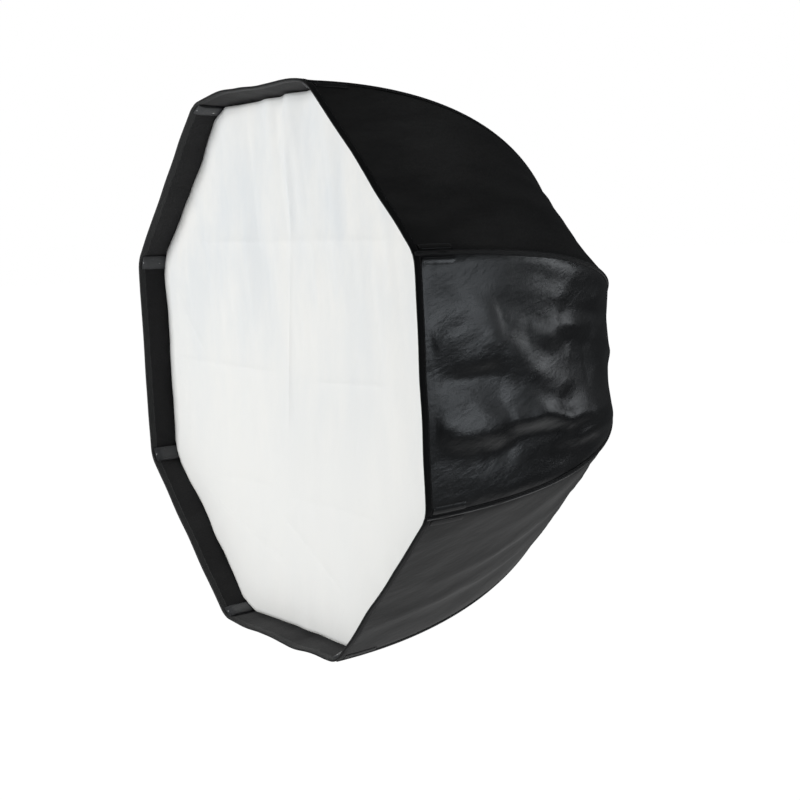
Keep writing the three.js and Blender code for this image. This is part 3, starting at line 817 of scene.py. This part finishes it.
def beside_rib(rib, ts, side, width, lift):
    """Points at a distance beside a rib on the gore at that side, lifted off the cloth."""
    skin, normal = bow(ts, ROD_INSET)
    spoke, _ = directions(rib_angle(rib))
    chord, _ = directions(rib_angle(rib) + side * (math.pi / 2 + HALF))
    outward, _ = directions(rib_angle(rib) + side * HALF)
    facing = gore_facing(outward, normal)
    edge = spoke * skin[:, 1:] + FORWARD * skin[:, :1]
    return round_over_rib(edge + chord * width + facing * lift), facing


def make_seam(rib):
    """The bound seam that joins two gores along their rib, with a row of stitches at each side."""
    ts = even_t(GORE_TS[0], float(t_before_mouth(1)), SEAM_POINTS)
    wobble = np.array([noise.noise(Vector((s * 60, rib * 3.1, 0))) for s in length_at(ts)])[:, None] * MM
    skin, normal = bow(ts, ROD_INSET)
    top = skin + normal * SEAM_RIDGE * MM
    spoke, _ = directions(rib_angle(rib))
    ridge = round_over_rib(spoke * top[:, 1:] + FORWARD * top[:, :1])

    def flank(side, section):
        return [
            beside_rib(rib, ts, side, w * MM + 0.3 * wobble, h * MM + 0.2 * wobble)[0] for w, h in section
        ]

    columns = [*flank(1, SEAM_HALF), ridge, *flank(-1, SEAM_HALF[::-1])]
    columns += [beside_rib(rib, ts, side, SEAM_UNDER[0] * MM, SEAM_UNDER[1] * MM)[0] for side in (-1, 1)]
    meshes = [loft_mesh(np.stack(columns, 1))]
    for side in (-1, 1):
        path, facing = beside_rib(rib, ts, side, SEAM_STITCH[0] * MM, SEAM_STITCH[1] * MM)
        meshes.append(stitches(path, facing))
    piece = collect(f"rib_seam_{rib}", join_meshes(f"rib_seam_{rib}", meshes), "seam", "thread")
    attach(piece, f"rib_body_{rib}")


def make_pocket(panel, side, rib, sign):
    """The stitched reinforcement of the pocket that holds a rib's tip."""
    ts = t_before_mouth(np.linspace(POCKET_REACH[1], POCKET_REACH[0], 26))
    rows = [beside_rib(rib, ts, -sign, w * MM, h * MM)[0] for w, h in POCKET_SECTION]
    rings = np.stack(rows, 1)
    middle = rings.mean(1, keepdims=True)
    taper = np.ones(len(ts))
    taper[[0, -1]], taper[[1, -2]] = 0.86, 0.97
    rings = middle + (rings - middle) * taper[:, None, None]
    meshes = [loft_mesh(rings)]
    for width, height in POCKET_STITCHES:
        path, facing = beside_rib(rib, ts[1:-1], -sign, width * MM, height * MM)
        meshes.append(stitches(path, facing, **FINE_STITCH))
    for end in (1, -2):
        row = [beside_rib(rib, ts[end:][:1], -sign, w * MM, 1.2 * MM) for w in POCKET_ACROSS]
        path, facing = (np.concatenate(part) for part in zip(*row))
        meshes.append(stitches(path, facing, **SHORT_STITCH))
    name = f"rib_pocket_{panel}{side}"
    piece = collect(name, join_meshes(name, meshes), nylon(panel), "grey_thread")
    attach(piece, f"rib_body_{rib}")


def across_half(sign):
    return np.linspace(-1, 0, EDGE_COLUMNS) if sign < 0 else np.linspace(0, 1, EDGE_COLUMNS)


def make_hem(panel, side, rib, sign):
    """The bound front edge of half a gore, folded over to the inside of the lip."""
    across = across_half(sign)
    rings = []
    for forward, lift in HEM_SECTION:
        t = float(t_before_mouth(max(0.0, -forward)))
        points, facing = gore_points(panel, t, across, lift * MM)
        rings.append(points[0] + FORWARD * max(0.0, forward * MM))
    meshes = [loft_mesh(np.stack(rings, 1))]
    for (back, lift), outside in zip(HEM_STITCHES, (1, -1)):
        path, facing = gore_points(panel, float(t_before_mouth(back)), across, lift * MM)
        meshes.append(stitches(path[0], facing[0] * outside))
    name = f"front_hem_{panel}{side}"
    mesh = join_meshes(name, meshes)
    for face in mesh.polygons:
        if face.material_index == 0 and Vector(facing[0, 0]).dot(face.normal) < 0:
            face.material_index = 2
    piece = collect(name, mesh, "edge", "thread", "binding")
    follow_rib(piece, panel, rib, *LIP_SPAN)


TAPE_ROWS = 12
TAPE_DROP, TAPE_THICK, TAPE_FUZZ = 1.7 * MM, 1.3 * MM, 0.25 * MM


def make_lip_tape(panel, side, rib, sign):
    """Loop tape sewn round the inside of the lip, where the front cloth sticks."""
    ts = t_at_depth(np.linspace(TAPE_DEPTH[0], TAPE_DEPTH[1], TAPE_ROWS))
    across = across_half(sign)
    outer, facing = gore_points(panel, ts, across, -(CLOTH + TAPE_DROP))
    fuzz = np.array([
        [noise.noise(Vector((i * 1.7, j * 0.9, panel))) for j in range(EDGE_COLUMNS)]
        for i in range(TAPE_ROWS)
    ])
    outer = outer - facing * (TAPE_FUZZ * fuzz)[..., None]
    name = f"loop_tape_{panel}{side}"
    mesh = sheet_mesh(name, outer, grid_normals(outer, -facing), gore_uv(panel, ts, across), TAPE_THICK)
    piece = collect(name, mesh, "pile", "binding")
    follow_rib(piece, panel, rib, *LIP_SPAN)
    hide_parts(f"lip_tape_{panel}")


# The corner tab's section: (sideways, below the outside of the shell), in mm.
TAB_SECTION = (
    (-11.2, 7.6), (-10.6, 10.2), (-8.6, 11.3), (-4.5, 12.0), (0, 12.3), (4.5, 12.0), (8.6, 11.3),
    (10.6, 10.2), (11.2, 7.6), (8.0, 5.2), (3.0, 3.6), (0, 3.3), (-3.0, 3.6), (-8.0, 5.2),
)
TAB_FLAT = 5.2  # the depth that a tab's puffed side flattens to at its front end
LOOSE_THREADS = (3, 4)  # ribs where an end of white thread stands out beside the front cloth


def make_corner_tab(rib):
    """The satin tab that covers a rib's tip inside the lip, sewn down along its edges."""
    near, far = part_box(f"corner_pocket_{rib}")
    ts = t_at_depth(np.linspace(-far.y - 1 * MM, -near.y - 3 * MM, 20))
    spoke, sideways = directions(rib_angle(rib))
    skin, normal = bow(ts, ROD_INSET)

    def at(x, drop):
        low = skin - normal * drop
        return spoke * low[:, 1:] + sideways * x + FORWARD * low[:, :1]

    puff = np.minimum(1, np.linspace(0.25, 4.0, len(ts))[::-1])[:, None] ** 0.5
    columns = []
    for x, drop in TAB_SECTION:
        puffed = TAB_FLAT + (drop - TAB_FLAT) * puff if drop > 7 else drop
        columns.append(at(x * MM, puffed * MM))
    meshes = [loft_mesh(np.stack(columns, 1))]
    inward = np.broadcast_to(-spoke, skin[:, :1].repeat(3, 1).shape)
    for x in (-8.8, 8.8):
        meshes.append(stitches(at(x * MM, 11.25 * MM)[1:-6], inward[1:-6], **FINE_STITCH))
    for row in (2, -8):
        path = np.array([at(x * MM, 11.9 * MM)[row] for x in (-8.4, -4, 0, 4, 8.4)])
        meshes.append(stitches(path, inward[:5], **FINE_STITCH))
    if rib in LOOSE_THREADS:
        start = at(0.0, 12.9 * MM)[8]
        path = np.array([start, start + np.array([9.0, -1.5, -0.5]) * MM])
        thread = {"pitch": 2 * MM, "length": 8 * MM, "width": 0.9 * MM}
        meshes.append(stitches(path, inward[:2], slot=2, **thread))
    name = f"corner_tab_{rib}"
    piece = collect(name, join_meshes(name, meshes), "satin", "grey_thread", "white_thread")
    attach(piece, f"rib_body_{rib}")
    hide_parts(f"corner_pocket_{rib}")


def make_rear_cuff():
    """The bound ring that holds the gores' rear edges round the hub."""
    low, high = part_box("rear_cuff")
    outer, rear, front = high.x, -high.y, -low.y
    inner = SHELL_START - 10 * MM
    section = rounded([(inner, front), (outer, front + 0.6 * MM), (outer, front - 1.6 * MM),
                       (inner, rear - 0.6 * MM)], 0.8 * MM)
    ring = lathe_mesh(section, 160)
    rows = []
    for radius in (inner + 4 * MM, outer - 4 * MM):
        turns = np.linspace(0, 2 * math.pi, 240)
        depth = np.interp(radius, [inner, outer], [rear - 0.6 * MM, front - 1.6 * MM])
        path = [directions(a)[0] * radius + FORWARD * depth for a in turns]
        rows.append(stitches(path, np.broadcast_to([0.0, 1.0, 0.0], (240, 3))))
    mesh = join_meshes("rear_cuff_binding", [ring, *rows])
    piece = collect("rear_cuff_binding", mesh, "binding", "thread")
    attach(piece, "mount")
    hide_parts("rear_cuff")


# ---- The front diffuser ----

SLICES = 32
SLICE_COLUMNS = 16
FACE_ROWS = 76
HEM_ROWS = 5
TOP_PANEL = 2
FACE_THICK = 0.7 * MM
EDGE_INSET = CLOTH + 3.4 * MM  # the cloth's edge, inside the shell beside a gore
CORNER_INSET = 13.2 * MM  # and over a corner tab

# Sharp creases left by packing, as (x, z) ends in metres on the face and a height in mm.
PACKED_CREASES = (
    ((-0.22, 0.177), (0.26, 0.168), 1.1),
    ((-0.35, 0.001), (-0.06, -0.006), 1.0),
    ((0.07, -0.015), (0.24, -0.010), 0.9),
    ((-0.28, -0.175), (-0.07, -0.170), 0.9),
    ((-0.01, -0.180), (0.20, -0.184), 0.7),
    ((0.032, 0.335), (0.024, 0.17), 1.3),
    ((0.020, 0.165), (-0.010, -0.08), 1.0),
    ((-0.27, -0.197), (-0.03, -0.280), 1.2),
    ((-0.03, -0.213), (0.12, -0.295), 0.9),
    ((-0.35, 0.137), (-0.25, 0.020), 1.2),
    ((-0.34, -0.002), (-0.31, -0.120), -1.6),
)

CREASE_GAIN, CREASE_WIDTH = 1.7, 5.5 * MM


def crease(x, z, start, end, height):
    """A sharp ridge that falls off to both sides and fades just past its ends."""
    a, b = np.array(start), np.array(end)
    run = (b - a) / np.linalg.norm(b - a)
    point = np.array([x, z]) - a
    travelled = float(point @ run) / np.linalg.norm(b - a)
    beside = abs(float(np.cross(run, point))) / CREASE_WIDTH
    if beside > 5 or not -0.1 < travelled < 1.1:
        return 0.0
    fade = min(1.0, max(0.0, (travelled + 0.1) * 5)) * min(1.0, max(0.0, (1.1 - travelled) * 5))
    return height * MM * fade * math.exp(-beside)


def edge_radius(angle, depth):
    """Where the front cloth meets the inside of the lip, for an angle round the axis."""
    panel = round(angle / STEP)
    turn = angle - panel * STEP
    skin = skin_at(t_at_depth(depth))[1]
    side = (skin * COS - EDGE_INSET) / math.cos(turn)
    corner = (skin - CORNER_INSET) / math.cos(HALF - abs(turn))
    return min(side, corner)


def edge_wave(angle):
    """The front cloth's edge isn't stuck down evenly: it stands forward of its line or behind it."""
    panel = round(angle / STEP)
    turn = (angle - panel * STEP) / HALF
    loose = 1 - turn * turn  # its corners are held by the tabs
    wave = noise.noise(Vector((math.cos(angle) * 9, math.sin(angle) * 9, 2.5)))
    if panel == TOP_PANEL:
        return (11.0 * wave - 4.0) * MM * loose ** 0.4
    return (2.8 * wave - 3.5) * MM * loose


def face_height(x, z, share):
    """How far the front cloth stands forward of its plane. share is 0 at the middle and 1 at the edge."""
    # Hanging folds, which are stronger in the upper half, and slanting ones.
    upper = min(1.0, max(0.0, (z + 0.12) / 0.3))
    vertical = noise.noise(Vector((x * 22 + z * 1.5, z * 3.4, 1.0)))
    fine = noise.noise(Vector((x * 62 + z * 4, z * 8, 5.0)))
    slanted = noise.noise(Vector(((x - z) * 9, (x + z) * 2.2, 8.0)))
    height = (3.0 * vertical * (0.3 + 0.7 * upper) + 1.0 * fine * (0.35 + 0.65 * upper) + 2.0 * slanted) * MM
    # Gathers at the stuck edge, and a face that sinks in a little toward its middle.
    gather = noise.noise(Vector((math.atan2(z, x) * 16, share * 3, 3.0))) * max(0.0, share - 0.72) / 0.28
    height += 2.4 * MM * gather
    height -= 7 * MM * (1 - share * share)
    return height + CREASE_GAIN * sum(crease(x, z, *one) for one in PACKED_CREASES)


def diffuser_grid():
    """The whole front cloth: rows from the middle to the edge and back along the lip, columns round."""
    angles = np.linspace(0, 2 * math.pi, SLICES * SLICE_COLUMNS + 1)
    grid = np.zeros((FACE_ROWS + HEM_ROWS + 1, len(angles), 3))
    uv = np.zeros(grid.shape[:2] + (2,))
    for j, angle in enumerate(angles):
        outward, _ = directions(angle)
        wave = edge_wave(angle % (2 * math.pi))
        rim = edge_radius(angle, FACE_DEPTH + wave)
        for i in range(FACE_ROWS + 1):
            share = max(0.001, i / FACE_ROWS)
            x, z = rim * share * outward[0], rim * share * outward[2]
            loose = 1 - share ** 10
            forward = face_height(x, z, share) * loose + wave * share ** 6
            grid[i, j] = (x, -FACE_DEPTH - forward, z)
            uv[i, j] = (x, z)
        for i in range(1, HEM_ROWS + 1):
            depth = FACE_DEPTH + wave + (HOOK_REAR - FACE_DEPTH) * i / HEM_ROWS
            grid[FACE_ROWS + i, j] = outward * edge_radius(angle, depth) + FORWARD * depth
            uv[FACE_ROWS + i, j] = uv[FACE_ROWS, j] * (1 + 0.01 * i)
    return angles, grid, uv


def make_diffuser():
    angles, grid, uv = diffuser_grid()
    toward = np.zeros_like(grid) + FORWARD
    normals = grid_normals(grid, toward)
    wrapped = np.concatenate([grid[:, -2:-1], grid[:, :2]], 1)
    normals[:, 0] = normals[:, -1] = grid_normals(wrapped, toward[:, :3])[:, 1]
    for number in range(SLICES):
        columns = slice(number * SLICE_COLUMNS, (number + 1) * SLICE_COLUMNS + 1)
        name = f"front_cloth_{number + 1}"
        mesh = sheet_mesh(name, grid[:, columns], normals[:, columns], uv[:, columns], FACE_THICK)
        slots = np.zeros(len(mesh.polygons), np.int32)
        slots[FACE_ROWS * SLICE_COLUMNS:(FACE_ROWS + HEM_ROWS) * SLICE_COLUMNS] = 1
        mesh.polygons.foreach_set("material_index", slots)
        piece = collect(name, mesh, "white", "white_hem")
        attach(piece, "diffuser")
        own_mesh(piece)
        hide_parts("front_diffuser", "diffuser_hook_tape")


# ---- Assembly ----

CAD_FINISHES = {
    "bayonet": "metal", "neck": "metal", "latch": "hub", "hub": "hub", "runner": "hub", "rib": "steel",
    "stretcher": "strip", "release": "button",
}

WELD_DISTANCE, BEVEL_WIDTH, BEVEL_ANGLE = 0.01 * MM, 0.3 * MM, math.radians(35)


def finish_cad_nodes():
    """Rounded edges, smooth shading and a proper material for the nodes that are shown as they are."""
    for name, node in frame["nodes"].items():
        if node.hide_render:
            continue
        kind = "hub" if name.startswith("rib_clip") else CAD_FINISHES[name.split("_")[0]]
        kind = "steel" if name.endswith("wire") else kind
        node.data.materials.clear()
        node.data.materials.append(MATERIALS[kind])
        if "custom_normal" in node.data.attributes:
            node.data.attributes.remove(node.data.attributes["custom_normal"])
        node.data.polygons.foreach_set("use_smooth", np.ones(len(node.data.polygons), bool))
        weld = node.modifiers.new("weld", "WELD")
        weld.merge_threshold = WELD_DISTANCE
        bevel = node.modifiers.new("bevel", "BEVEL")
        bevel.width = BEVEL_WIDTH
        bevel.segments = 2
        bevel.limit_method = "ANGLE"
        bevel.angle_limit = BEVEL_ANGLE
        bevel.harden_normals = True


place_camera()
place_floor()
place_world()
place_lights()
for panel in range(1, SIDES + 1):
    make_gore(panel)
    for side, rib, sign in halves(panel):
        make_hem(panel, side, rib, sign)
        make_lip_tape(panel, side, rib, sign)
        make_pocket(panel, side, rib, sign)
for rib in range(1, SIDES + 1):
    make_seam(rib)
    make_corner_tab(rib)
make_rear_cuff()
make_diffuser()
finish_cad_nodes()
